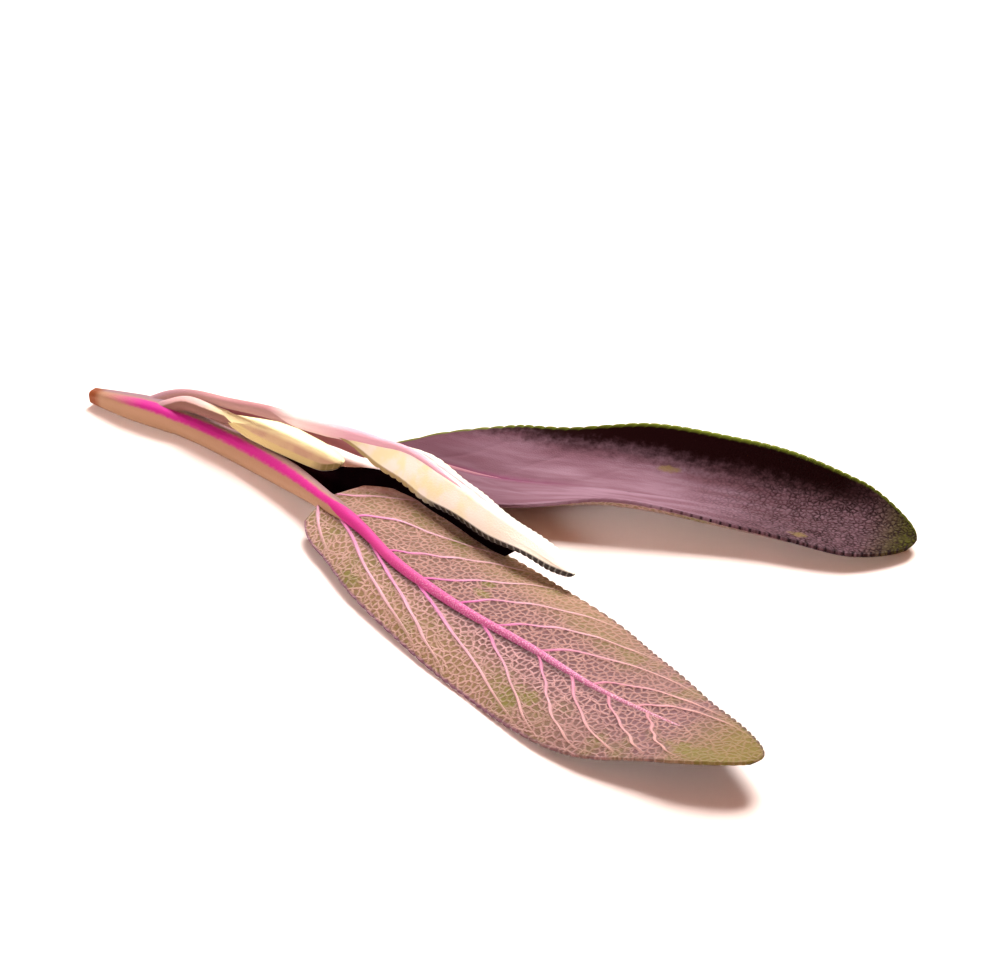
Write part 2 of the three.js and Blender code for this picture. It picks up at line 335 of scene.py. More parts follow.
def thicken(piece: Piece, thickness: float, offset: float, finishes: Sequence[Paint]) -> None:
    """Makes a sheet a closed shell that has a finish on each side.

    The finishes go on first, because the modifier keeps to the number of materials that it finds.

    Args:
        piece: The sheet.
        thickness: The shell's thickness in millimetres.
        offset: -1 where all of it goes under the sheet, 0 where half of it does.
        finishes: The materials of its upward and its downward side.
    """
    for finish in finishes:
        piece.data.materials.append(finish)
    shell = piece.modifiers.new("shell", "SOLIDIFY")
    shell.thickness = thickness * MM
    shell.offset = offset
    shell.material_offset = 1
    bpy.ops.object.modifier_apply(modifier="shell")


def edit(piece: Piece, *steps: tuple[Callable[..., Any], dict[str, Any]]) -> None:
    """Runs edit-mode operators on a piece.

    Args:
        piece: The piece.
        *steps: Each operator with its settings.
    """
    bpy.context.view_layer.objects.active = piece
    bpy.ops.object.mode_set(mode="EDIT")
    for operator, settings in steps:
        operator(**settings)
    bpy.ops.object.mode_set(mode="OBJECT")


def wear(piece: Piece, node: str, slot: str, *finishes: Paint) -> None:
    """Dresses a finished piece and makes it stand for its CAD node.

    Args:
        piece: The piece.
        node: The CAD node that it replaces.
        slot: The record's material slot; not used.
        *finishes: Its materials, where it has none yet.
    """
    for finish in finishes:
        piece.data.materials.append(finish)
    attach(piece, "root")
    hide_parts(node)
    LOG.info("%s: %d points, %d faces", piece.name, len(piece.data.vertices), len(piece.data.polygons))


# ---- Finishes ----


@dataclass(frozen=True)
class Finish(ABC):
    """What the plant's finishes share: a dull skin whose colour and relief are patterns."""

    roughness: float = 0.75
    gloss: float = 0.25
    sheen: float = 0.15
    sheen_roughness: float = 0.5
    bump: float = 1.0
    bump_height: float = 0.00018

    def material(self, name: str) -> Paint:
        """Builds the material.

        Args:
            name: Its name.

        Returns:
            The finished material.
        """
        paint, shader = start_material(
            name,
            {
                "Roughness": self.roughness,
                "Specular IOR Level": self.gloss,
                "Sheen Weight": self.sheen,
                "Sheen Roughness": self.sheen_roughness,
            },
        )
        colour, height = self.pattern(paint.node_tree)
        bump = {"Height": height, "Strength": self.bump, "Distance": self.bump_height}
        paint.node_tree.links.new(colour, shader.inputs["Base Color"])
        paint.node_tree.links.new(add_node(paint.node_tree, "Bump", bump), shader.inputs["Normal"])
        return paint

    @abstractmethod
    def pattern(self, tree: Tree) -> tuple[Socket, Socket]:
        """Builds the nodes for the colour and the relief.

        Args:
            tree: The material's node tree.

        Returns:
            The colour and the height.
        """


# Leaf underside, grown and covered with down: the eye gets a matt, slightly furry skin with a raised pale net of veins
# over darker pits, with a painted shadow beside the midrib, painted light on the near half's net and painted shade on
# the far rim's teeth. The sheen is low, because the down is short.
@dataclass(frozen=True)
class LeafUnderside(Finish):
    """Downy sage underside: a raised pale net of veins over darker pits, soft and without gloss."""

    pits_base: str = "#7f6442"
    pits_middle: str = "#623e3d"
    pits_tip: str = "#6a464b"
    green: str = "#6a6126"
    net: str = "#c39387"
    # Painted light: the paler net of the lit near half.
    lit_net: str = "#dcaaa8"
    # Painted shadow of the raised midrib, on the near half.
    midrib_shadow: str = "#432529"
    veins: Stops = ((0.0, "#c0408e"), (0.18, "#cb74a4"), (0.5, "#d19fae"), (1.0, "#c39c90"))
    tip: str = "#6e5f1c"
    lobe_rim: str = "#c4978a"
    near_edge: str = "#7a4a64"
    # Painted shade on the rolled-under teeth of the far rim.
    beads: str = "#3c2a2e"
    cell: float = 0.62
    wide_cell: float = 2.3
    spots: Spots = (
        (21.4, 3.0, 1.3, 0.7), (20.4, 4.4, 0.9, 0.8), (33.2, -5.4, 1.8, 1.9), (34.6, -4.4, 1.2, 1.0),
        (12.5, 7.0, 1.6, 1.2), (11.0, -3.8, 1.5, 1.0), (50.5, -2.6, 3.4, 1.3),
    )

    def pattern(self, tree: Tree) -> tuple[Socket, Socket]:
        """Builds the nodes for the colour and the relief.

        Args:
            tree: The material's node tree.

        Returns:
            The colour and the height.
        """
        node = partial(add_node, tree)
        flat = node("Attribute", out="Vector", attribute_name="flat")
        along, across, rim, tooth, vein, between = (
            node("Attribute", out="Fac", attribute_name=name)
            for name in ("along", "across", "rim", "tooth", "vein", "between")
        )
        # The net: its finest meshes are drawn 0.62 mm wide, a little coarser than they are, so that they show. Its wider
        # veinlets are 2.3 mm apart. Both fade in patches.
        drift = node("TexNoise", {"Vector": flat, "Scale": 1.6, "Detail": 3.0, "Roughness": 0.65}, out="Color")
        bent = node("VectorMath", (drift, (0.42, 0.42, 0.0), flat), **TIMES_PLUS)
        cell_inputs = {"Vector": bent, "Scale": 1 / self.cell, "Randomness": 0.85}
        cells = node("TexVoronoi", cell_inputs, out="Distance", **EDGES)
        wide = node("TexVoronoi", {"Vector": bent, "Scale": 1 / self.wide_cell}, out="Distance", **EDGES)
        fine_line = node("MapRange", (cells, 0.0, 0.28, 0.78, 0.0), **SMOOTH)
        wide_line = node("MapRange", (wide, 0.01, 0.06, 0.6, 0.0), **SMOOTH)
        net = node("Math", (fine_line, wide_line), operation="MAXIMUM")
        worn = node("TexNoise", {"Vector": flat, "Scale": 0.9, "Detail": 4.0, "Roughness": 0.7})
        net = node("Math", (net, node("MapRange", (worn, 0.35, 0.6, 0.45, 1.0))), **TIMES)
        inner = node("MapRange", (rim, 1.5, 6.0), **SMOOTH)
        inner = node("Math", (inner, node("MapRange", (along, 0.05, 0.4, 0.35))), **TIMES)
        net = node("Math", (net, node("MapRange", (inner, 0.0, 1.0, 0.62))), **TIMES)
        # The side veins: their hairs are drawn about 0.14 mm wide, coarser than the real 0.02 mm, so that they show.
        hairs = node("TexNoise", {"Vector": flat, "Scale": 7.0, "Detail": 2.0})
        vein_off = node("Math", (hairs, 0.9, node("Math", (vein,), operation="ABSOLUTE")), **TIMES_PLUS)
        vein_line = node("MapRange", (vein_off, 0.9, 1.8, 1.0, 0.0), **SMOOTH)
        vein_line = node("Math", (vein_line, node("MapRange", (between, 0.35, 0.6, 1.0, 0.0))), **TIMES)
        vein_line = node("Math", (vein_line, node("MapRange", (rim, 0.25, 1.5))), **TIMES)
        outward = node("Math", (across,), operation="ABSOLUTE")
        paling = node("MapRange", (along, 0.4, 0.85, 0.0, 0.8))
        tint = layered(tree, node("ValToRGB", (outward,), stops=self.veins), ((self.net, paling),))
        # Where each tint lies.
        to_tip = node("MapRange", (along, 0.45, 0.9), **SMOOTH)
        at_tip = node("MapRange", (along, 0.83, 0.98), **SMOOTH)
        patches = node("TexNoise", {"Vector": flat, "Scale": 0.28, "Detail": 3.0})
        green = node("MapRange", (patches, 0.5, 0.68, 0.0, 0.5), **SMOOTH)
        green = node("Math", (green, node("Math", (1.0, inner), operation="SUBTRACT")), **TIMES)
        green = node("Math", (green, spot_share(tree, flat, self.spots)), operation="MAXIMUM")
        # Painted light: the net is paler on the near half, less so towards the tip.
        lit_side = node("MapRange", (across, -0.15, 0.1, 1.0, 0.0))
        lit_side = node("MapRange", (to_tip, 0.0, 1.0, lit_side, 0.0))
        # Painted shadow of the raised midrib: a dark strip beside it on the near half, gone before the tip.
        beside = node("SeparateXYZ", (flat,), out="Y")
        midrib_shadow = node("MapRange", (beside, -1.05, -0.6, 0.0, 0.8))
        by_midrib = node("MapRange", (beside, -0.3, -0.1, 1.0, 0.0))
        stretch = node("MapRange", (along, 0.6, 0.8, 1.0, 0.0))
        far_half = node("MapRange", (across, 0.3, 0.4))
        near_half = node("MapRange", (across, -0.4, -0.3, 1.0, 0.0))
        lobe_end = node("MapRange", (along, 0.1, 0.22, 1.0, 0.0))
        lobe_rim = node("MapRange", (rim, 0.9, 1.9, 1.0, 0.0))
        edge = node("MapRange", (rim, 0.08, 0.26, 0.85, 0.0))
        beaded = node("MapRange", (along, 0.45, 0.55))
        pits = ((self.pits_middle, inner), (self.pits_tip, to_tip), (self.green, green), (self.tip, at_tip))
        colour = layered(
            tree,
            layered(tree, self.pits_base, pits),
            (
                (layered(tree, self.net, ((self.lit_net, lit_side),)), net),
                (self.tip, at_tip, 0.55),
                (self.green, green, 0.45),
                (self.midrib_shadow, midrib_shadow, by_midrib, stretch),
                (tint, vein_line),
                (self.lobe_rim, lobe_end, lobe_rim, far_half),
                (self.near_edge, edge, near_half, stretch),
                # Painted shade on the rolled-under teeth of the far rim, from the middle on.
                (self.beads, beaded, edge, far_half, tooth),
            ),
        )
        raised = node("Math", (net, vein_line), operation="MAXIMUM")
        return colour, node("Math", (hairs, 0.3, raised), **TIMES_PLUS)


# Leaf upper side, grown and covered with the shortest down: the eye gets a flat, dusty purple without highlights,
# pebbled where the veins sink in, with painted shade between the pebbles and on the curled far rim.
@dataclass(frozen=True)
class LeafUpperSide(Finish):
    """Downy purple sage upper side: dusky mauve, pebbled between the sunken veins towards the tip."""

    gloss: float = 0.06
    sheen: float = 0.02
    bump: float = 0.9
    mauve: str = "#6f4d58"
    lilac: str = "#8c6e7b"
    dusk: str = "#543a3e"
    base: str = "#58343f"
    middle: str = "#6c2a4c"
    shade: str = "#1a0001"
    # Painted shade on the curled far rim, nearly black.
    rim: str = "#626e22"
    tip: str = "#3f3e05"
    # Painted shade in the narrow hollows between the pebbles.
    crevice_shade: str = "#200a0b"
    dots: str = "#1c0a10"
    green: str = "#7c673c"
    cell: float = 0.44
    spots: Spots = ((28.4, 3.9, 1.2, 0.5), (42.4, -3.4, 1.1, 0.7))
    curl_shade_along: Stops = ((0.1, BLACK), (0.2, WHITE), (0.85, WHITE), (0.97, BLACK))

    def pattern(self, tree: Tree) -> tuple[Socket, Socket]:
        """Builds the nodes for the colour and the relief.

        Args:
            tree: The material's node tree.

        Returns:
            The colour and the height.
        """
        node = partial(add_node, tree)
        flat = node("Attribute", out="Vector", attribute_name="flat")
        along, across, rim, tooth = (
            node("Attribute", out="Fac", attribute_name=name) for name in ("along", "across", "rim", "tooth")
        )
        # Streaks along the leaf, and pebbles of about 0.44 mm that deepen towards the tip,
        # with painted shade in the hollows between them.
        long = node("Mapping", {"Vector": flat, "Scale": (0.12, 0.8, 1.0)})
        streaks = node("TexNoise", {"Vector": long, "Scale": 1.0, "Detail": 4.0})
        streaks = node("MapRange", (streaks, 0.35, 0.7, 0.0, 0.8), **SMOOTH)
        drift = node("TexNoise", {"Vector": flat, "Scale": 1.8, "Detail": 3.0, "Roughness": 0.65}, out="Color")
        bent = node("VectorMath", (drift, (0.6, 0.6, 0.0), flat), **TIMES_PLUS)
        cells = node("TexVoronoi", {"Vector": bent, "Scale": 1 / self.cell}, out="Distance", **EDGES)
        mottle = node("TexNoise", {"Vector": flat, "Scale": 1.1, "Detail": 4.0, "Roughness": 0.7})
        pebbled = node("MapRange", (along, 0.5, 0.85), **SMOOTH)
        gap = node("MapRange", (cells, 0.0, 0.4, 0.8, 0.0), **SMOOTH)
        gap = node("Math", (gap, node("MapRange", (mottle, 0.35, 0.6, 0.35, 1.25))), **TIMES)
        crevice_shade = node("Math", (gap, pebbled), use_clamp=True, **TIMES)
        # Painted shade, dark, on the far rim that curls up away from the light: ragged and narrower towards the stalk.
        uneven = node("Math", (mottle, 0.42, across), **TIMES_PLUS)
        uneven = node("Math", (uneven, node("MapRange", (along, 0.18, 0.55, -0.42, -0.05))), operation="ADD")
        curl_shade = node("MapRange", (uneven, 0.5, 0.92), **SMOOTH)
        # Where the other tints lie.
        inward = node("Math", (mottle, 0.12, node("Math", (across,), operation="ABSOLUTE")), **TIMES_PLUS)
        on_middle = node("MapRange", (inward, 0.07, 0.17, 0.8, 0.0))
        near_base = node("MapRange", (along, 0.25, 0.42, 1.0, 0.0))
        at_tip = node("MapRange", (along, 0.9, 0.99), **SMOOTH)
        at_rim = node("MapRange", (rim, 0.05, 0.32, 1.0, 0.0), **SMOOTH)
        far_half = node("MapRange", (across, 0.3, 0.5))
        near_half = node("MapRange", (across, -0.5, -0.3, 1.0, 0.0))
        notch = node("MapRange", (tooth, 0.35, 0.8, 1.0, 0.0))
        by_rim = node("MapRange", (rim, 0.3, 0.55, 1.0, 0.0))
        colour = layered(
            tree,
            self.mauve,
            (
                (self.lilac, streaks),
                (self.base, node("MapRange", (along, 0.05, 0.42, 0.9, 0.0))),
                (self.middle, on_middle, near_base),
                (self.dusk, pebbled, 0.7),
                (self.shade, curl_shade, node("ValToRGB", (along,), stops=self.curl_shade_along)),
                (self.tip, at_tip),
                (self.crevice_shade, crevice_shade),
                (self.rim, at_rim, far_half),
                (self.green, spot_share(tree, flat, self.spots), 0.7),
                (self.dots, notch, by_rim, node("MapRange", (along, 0.5, 0.66)), near_half),
            ),
        )
        # The down is drawn about 0.14 mm wide, coarser than it is, so that it shows.
        down = node("TexNoise", {"Vector": flat, "Scale": 7.0, "Detail": 2.0})
        smooth = node("Math", (1.0, crevice_shade), operation="SUBTRACT")
        return colour, node("Math", (down, 0.2, smooth), **TIMES_PLUS)


# Young leaf, felted with long white down: the eye gets a chalky cream that scatters light and shows no highlight.
@dataclass(frozen=True)
class LeafFelt(Finish):
    """Young sage leaf felted with white down: cream with yellow blotches, and no gloss."""

    roughness: float = 0.85
    gloss: float = 0.2
    sheen: float = 0.3
    bump: float = 0.5
    bump_height: float = 0.0001
    cream: str = "#fbf6ea"
    yellow: str = "#f6edbf"
    lower: str = "#fbf3e2"
    base: str = "#a58f62"
    edge: str = "#241a10"
    edge_from: float = 0.36
    edge_width: float = 0.36
    blotch: float = 0.5
    blotches_until: float = 0.7
    streak: str = ""
    dashes: str = "#9c5a54"
    streak_along: Stops = ((0.02, WHITE), (0.55, WHITE), (0.7, BLACK))

    def pattern(self, tree: Tree) -> tuple[Socket, Socket]:
        """Builds the nodes for the colour and the relief.

        Args:
            tree: The material's node tree.

        Returns:
            The colour and the height.
        """
        node = partial(add_node, tree)
        flat = node("Attribute", out="Vector", attribute_name="flat")
        along, across, rim, tooth = (
            node("Attribute", out="Fac", attribute_name=name) for name in ("along", "across", "rim", "tooth")
        )
        blotches = node("TexNoise", {"Vector": flat, "Scale": self.blotch, "Detail": 3.0})
        blotches = node("MapRange", (blotches, 0.4, 0.65), **SMOOTH)
        whiter = node("MapRange", (along, self.blotches_until - 0.2, self.blotches_until, 1.0, 0.15))
        # The near side's tint: on the young leaf it is painted shade, a tan on the side away from the light.
        lower = node("MapRange", (across, -0.25, 0.15, 1.0, 0.0))
        at_base = node("MapRange", (along, 0.0, 0.25, 0.45, 0.0), **SMOOTH)
        edge = node("MapRange", (rim, self.edge_width - 0.18, self.edge_width, 1.0, 0.0), **SMOOTH)
        on_near = node("MapRange", (across, -0.3, 0.0, 1.0, 0.2))
        outward = node("MapRange", (along, self.edge_from, self.edge_from + 0.1))
        inward = node("Math", (1.0, outward), operation="SUBTRACT")
        beaded = node("Math", (tooth, 0.25, 0.8), use_clamp=True, **TIMES_PLUS)
        layers = [(self.lower, lower), (self.yellow, blotches, whiter), (self.base, at_base)]
        if self.streak:
            long = node("VectorMath", (flat, (0.7, 2.4, 1.0)), **TIMES)
            patchy = node("TexNoise", {"Vector": long, "Scale": 1.0, "Detail": 2.0})
            beside = node("MapRange", (across, 0.02, 0.14))
            beside = node("Math", (beside, node("MapRange", (across, 0.4, 0.6, 1.0, 0.0))), **TIMES)
            beside = node("Math", (beside, node("ValToRGB", (along,), stops=self.streak_along)), **TIMES)
            layers.append((self.streak, node("MapRange", (patchy, 0.3, 0.6, 0.35, 0.9)), beside))
            layers.append((self.dashes, node("MapRange", (patchy, 0.5, 0.62, 0.0, 0.6)), beside))
        layers += [(self.base, edge, on_near, inward), (self.edge, edge, on_near, beaded, outward)]
        # The felt is drawn about 0.17 mm wide, coarser than its hairs, so that it shows.
        return layered(tree, self.cream, layers), node("TexNoise", {"Vector": flat, "Scale": 6.0, "Detail": 3.0})


# Green stalk, soft and finely downy: the eye gets a faint silky gloss along its length and a flush of colour on top.
@dataclass(frozen=True)
class GreenStalk(Finish):
    """Soft herb stalk or midrib: flanks of two tints with a flushed stripe on top, under short down."""

    roughness: float = 0.6
    gloss: float = 0.18
    sheen: float = 0.06
    bump: float = 0.4
    bump_height: float = 0.0001
    near: str = "#a07a5e"
    far: str = "#84666e"
    stripe: Stops = ((0.0, "#b01c78"), (1.0, "#b31c7a"))
    stripe_from: tuple[float, float] = (0.7, 0.9)
    starts: tuple[float, float] = (-1.0, -0.5)
    wide_from: float = 2.0
    lean: float = 0.0
    frost: float = 0.0
    frost_tint: str = "#f0d0e0"
    frost_along: tuple[float, float] = (0.45, 0.75)
    cut: str = ""

    def pattern(self, tree: Tree) -> tuple[Socket, Socket]:
        """Builds the nodes for the colour and the relief.

        Args:
            tree: The material's node tree.

        Returns:
            The colour and the height.
        """
        node = partial(add_node, tree)
        along, top, nearness = (
            node("Attribute", out="Fac", attribute_name=name) for name in ("along", "top", "nearness")
        )
        place = node("TexCoord", out="Object")
        # The stripe lies where the skin faces up and, with a lean, towards the near side. Its edge is ragged in steps of
        # about 0.4 mm, like the ridges of the skin.
        facing = node("Math", (nearness, self.lean), **TIMES)
        up = node("Math", (top, math.sqrt(1 - self.lean**2), facing), **TIMES_PLUS)
        ragged = node("TexNoise", {"Vector": place, "Scale": 2500.0, "Detail": 2.0})
        up = node("Math", (ragged, 0.08, up), **TIMES_PLUS)
        widen = node("MapRange", (along, self.wide_from, self.wide_from + 0.1, 0.0, 1.6), **SMOOTH)
        up = node("Math", (up, widen), operation="ADD")
        begun = node("MapRange", (along, *self.starts), **SMOOTH)
        up = node("Math", (begun, 0.05, up), **TIMES_PLUS)
        on_top = node("MapRange", (up, *self.stripe_from), **SMOOTH)
        flush = node("ValToRGB", (along,), stops=self.stripe)
        layers = [(self.near, node("MapRange", (nearness, -0.35, 0.35), **SMOOTH)), (flush, on_top, begun)]
        if self.frost:
            # White hairs, drawn about 0.11 mm wide, coarser than the real 0.02 mm, so that they show.
            speckle = node("TexNoise", {"Vector": place, "Scale": 9000.0, "Detail": 1.0})
            frosted = node("MapRange", (speckle, 0.45, 0.75, 0.0, self.frost), **SMOOTH)
            layers.append((self.frost_tint, frosted, node("MapRange", (along, *self.frost_along))))
        if self.cut:
            layers.append((self.cut, node("MapRange", (along, 0.05, 0.16, 1.0, 0.0), **SMOOTH)))
        # The short down is drawn about 0.17 mm wide, coarser than its hairs, so that it shows.
        return layered(tree, self.far, layers), node("TexNoise", {"Vector": place, "Scale": 6000.0, "Detail": 2.0})


# Painted board, rolled and matt: the eye gets an even pale ground that shows soft shadows and no reflections.
@dataclass(frozen=True)
class TableTop:
    """Smooth matt painted board, pale and faintly warm."""

    colour: str = "#f5e6de"
    roughness: float = 0.9
    gloss: float = 0.1

    def material(self, name: str) -> Paint:
        """Builds the material.

        Args:
            name: Its name.

        Returns:
            The finished material.
        """
        values = {"Base Color": linear(self.colour), "Roughness": self.roughness, "Specular IOR Level": self.gloss}
        return start_material(name, values)[0]


# ---- The sprig's parts ----


class Spine:
    """A stretch of a smooth curve through points, read by its share of length."""

    def __init__(self, points: Points, start: float = 0.0, stop: float = 1.0) -> None:
        """Samples the curve.

        Args:
            points: The points in millimetres.
            start: Where on the curve the stretch starts.
            stop: Where it stops.
        """
        self.points = np.array([self._curve(points, u) for u in np.linspace(start, stop, SPINE_SAMPLES + 1)])
        steps = np.linalg.norm(np.diff(self.points, axis=0), axis=1)
        self.lengths = np.concatenate([[0.0], np.cumsum(steps)])
        self.length = float(self.lengths[-1])

    @staticmethod
    def _curve(points: Points, u: float) -> Array:
        """Gives a point on the centripetal curve through the points.

        Args:
            points: The points.
            u: Where on the curve, 0 to 1.

        Returns:
            The point.
        """
        known = [np.array(p, float) for p in points]
        last = len(known) - 1
        i = min(int(math.floor(u * last)), last - 1)
        w = u * last - i
        p1, p2 = known[i], known[i + 1]
        p0 = known[i - 1] if i > 0 else 2 * p1 - p2
        p3 = known[i + 2] if i + 2 <= last else 2 * p2 - p1
        d0, d1, d2 = (float(np.dot(b - a, b - a)) ** 0.25 for a, b in ((p0, p1), (p1, p2), (p2, p3)))
        t1 = ((p1 - p0) / d0 - (p2 - p0) / (d0 + d1) + (p2 - p1) / d1) * d1
        t2 = ((p2 - p1) / d1 - (p3 - p1) / (d1 + d2) + (p3 - p2) / d2) * d1
        return p1 + t1 * w + (3 * (p2 - p1) - 2 * t1 - t2) * w**2 + (2 * (p1 - p2) + t1 + t2) * w**3

    def point(self, t: Array) -> Array:
        """Gives the points at shares of the length.

        Args:
            t: The shares.

        Returns:
            A row for each point.
        """
        wanted = np.clip(t, 0, 1) * self.length
        return np.stack([np.interp(wanted, self.lengths, self.points[:, k]) for k in range(3)], -1)

    def frame(self, t: Array) -> tuple[Array, Array, Array, Array]:
        """Gives the points and the directions there. Before its start the stretch runs on straight.

        Args:
            t: Shares of the length, which may be under zero.

        Returns:
            The points, the directions of travel, the near side's directions and the upward normals.
        """
        ahead = self.point(np.minimum(t + 0.01, 1)) - self.point(np.maximum(t - 0.01, 0))
        ahead /= np.linalg.norm(ahead, axis=-1, keepdims=True)
        side = np.cross(ahead, [0.0, 0.0, 1.0])
        side /= np.linalg.norm(side, axis=-1, keepdims=True)
        place = self.point(t) + ahead * (np.minimum(t, 0) * self.length)[..., None]
        return place, ahead, side, np.cross(side, ahead)


@dataclass(frozen=True)
class Half:
    """One half of a blade. Widths are at equal steps along the blade, angles are degrees, and each side vein has its
    start on the midrib, how far it sweeps forward and how it bends."""

    widths: tuple[float, ...]
    lift: tuple[float, ...]
    curl: tuple[float, ...] = (0, 0)
    lobe: float = 0.0
    base_round: float = 0.1
    tip_round: float = 0.12
    wave: float = 0.0
    veins: Points = ()


@dataclass(frozen=True)
class LeafForm:
    """One leaf's sizes in millimetres, on the sheet that the sprig is laid out on.

    Radii are at equal steps along the stalk and the midrib. The sizes with a value here are those of most leaves.
    """

    name: str
    slot: str
    stalk: Points
    midrib: Points
    lies: Lies
    rows: int
    columns: int
    teeth: int
    stalk_radius: tuple[float, ...]
    midrib_radius: tuple[float, ...]
    midrib_rise: float
    near: Half
    far: Half
    vein_relief: float
    root: Points
    tooth_height: float = 0.14
    thickness: float = 0.62
    rim_thickness: float = 0.5
    rim_reach: float = 0.6
    rim_drop: float = 0.1
    top: float = 0.35
    bead: float = 0.06
    bead_reach: float = 0.35
    ridge_width: float = 0.28
    shoulder_width: float = 0.9
    shoulder: float = 0.4
    hollow: float = 0.25
    teeth_from: float = 0.9
    end_thickness: float = 0.3
    end_share: float = 0.03
    vein_width: float = 0.42
    rod_stop: float = 0.97


class Leaf:
    """A leaf: a thin toothed blade, and the stalk and midrib that are one tapering rod."""

    def __init__(self, form: LeafForm) -> None:
        """Lays out the spine.

        Args:
            form: The leaf's sizes.
        """
        self.form = form
        points = (*form.stalk, *form.midrib)
        blade_start = len(form.stalk) / (len(points) - 1)
        self.blade_spine = Spine(points, blade_start)

    def half(self, side: Side) -> Half:
        """Gives the sizes of one half.

        Args:
            side: Which half.

        Returns:
            Its sizes.
        """
        return self.form.near if side is Side.NEAR else self.form.far

    def along(self, side: Side, start: Array, across: Array) -> Array:
        """Gives the share of the blade's length where a row that starts on the midrib has got to.

        Args:
            side: The half.
            start: Where the row starts on the midrib.
            across: How far across the half, from 0 on the midrib to 1 on the edge.

        Returns:
            The shares of the length, under zero in the lobe behind the blade's start.
        """
        bend_across, bend_along = SWEEP_BENDS
        forward = VEIN_SWEEP * across**bend_across * np.sin(math.pi * np.sqrt(np.clip(start, 0, 1)))
        forward = forward * np.clip(1 - start, 0, 1) ** bend_along
        return start + forward - self.half(side).lobe * across**2 * np.maximum(1 - start / LOBE_REACH, 0) ** 2

    def half_width(self, side: Side, t: Array) -> Array:
        """Gives the half's width.

        Args:
            side: Which half.
            t: Shares of the blade's length.

        Returns:
            The widths there, in millimetres.
        """
        half = self.half(side)
        return value_at(half.widths, t) * round_end(t + half.lobe, half.base_round) * round_end(1 - t, half.tip_round)

    def surface(self, side: Side, t: Array, across: Array, reach: Array) -> tuple[Array, Array]:
        """Gives places on the blade's middle surface.

        Args:
            side: The half.
            t: Shares of the blade's length.
            across: Shares of the half's width.
            reach: Distances from the midrib along the surface.

        Returns:
            The places and the directions square to the surface, on the upward side.
        """
        place, _, near, normal = self.blade_spine.frame(t)
        half = self.half(side)
        start = np.radians(value_at(half.lift, t))
        bend = np.radians(value_at(half.curl, t))
        out = np.zeros_like(t)
        up = np.zeros_like(t)
        for i in range(SECTION_STEPS):
            angle = start + bend * ((i + 0.5) / SECTION_STEPS * across) ** 2
            out += np.cos(angle) * reach / SECTION_STEPS
            up += np.sin(angle) * reach / SECTION_STEPS
        up += half.wave * across**2 * np.sin(2 * math.pi * RIM_WAVES * t)
        slope = np.where(across == 0, 0.0, start + bend * across**2)
        way = side.value
        place = place + near * (way * out)[:, None] + normal * up[:, None]
        square = normal * np.cos(slope)[:, None] - near * (way * np.sin(slope))[:, None]
        return place, square

    def veins(self, side: Side, t: Array, across: Array, width: Array) -> tuple[Array, Array]:
        """Measures how far places are from the nearest side vein.

        Args:
            side: The half.
            t: Shares of the blade's length.
            across: Shares of the half's width.
            width: The half's width there, in millimetres.

        Returns:
            The distances in millimetres, under zero before the vein, and how far between two veins, 0 to 1.
        """
        plan = self.half(side).veins
        if not plan:
            return np.full(len(t), CLEAR_OF_VEINS), np.ones(len(t))
        length = self.blade_spine.length
        # Each vein wavers a little in its own way, in a long wave and a short one.
        long, short = VEIN_WAVER
        wobble = [
            long * np.sin(across * (6 + k % 3) + 2.4 * k) + short * np.sin(across * (19 + 5 * (k % 3)) + k)
            for k in range(len(plan))
        ]
        lines = np.array([start + sweep * across**bend + wobble[k] for k, (start, sweep, bend) in enumerate(plan)])
        nearest = np.argmin(np.abs(lines - t), axis=0)
        here = np.arange(len(t))
        offset = t - lines[nearest, here]
        beside = np.where(offset < 0, nearest - 1, nearest + 1)
        known = (beside >= 0) & (beside < len(plan))
        other = lines[np.clip(beside, 0, len(plan) - 1), here]
        gap = np.where(known, np.abs(other - lines[nearest, here]), OUTER_VEIN_GAP)
        _, sweep, bend = np.array(plan)[nearest].T
        run = length * sweep * bend * np.clip(across, 0.05, 1) ** (bend - 1)
        steep = np.maximum(width, 0.3) / np.hypot(run, np.maximum(width, 0.3))
        return offset * length * steep, np.clip(2 * np.abs(offset) / np.maximum(gap, 0.01), 0, 1)

    def blade(self, *finishes: Paint) -> Piece:
        """Builds the blade from a grid laid on to the leaf's form.

        Args:
            *finishes: The materials of its upward and its downward side.

        Returns:
            The blade, a closed shell.
        """
        form = self.form
        piece = start_piece(
            f"{form.name}_blade",
            bpy.ops.mesh.primitive_grid_add,
            x_subdivisions=2 * form.columns,
            y_subdivisions=form.rows,
            size=2,
            calc_uvs=False,
        )
        grid = points_of(piece)
        row = np.clip((grid[:, 1] + 1) / 2, 0, 1)
        signed = np.clip(grid[:, 0], -1, 1)
        across = np.abs(signed)
        # The rows lie closer together towards both ends, where the outline bends most.
        start = 0.6 * row + 0.2 * (1 - np.cos(math.pi * row))
        ends = (row < 1e-6) | (row > 1 - 1e-6)
        across = np.where(ends, 0.0, across)
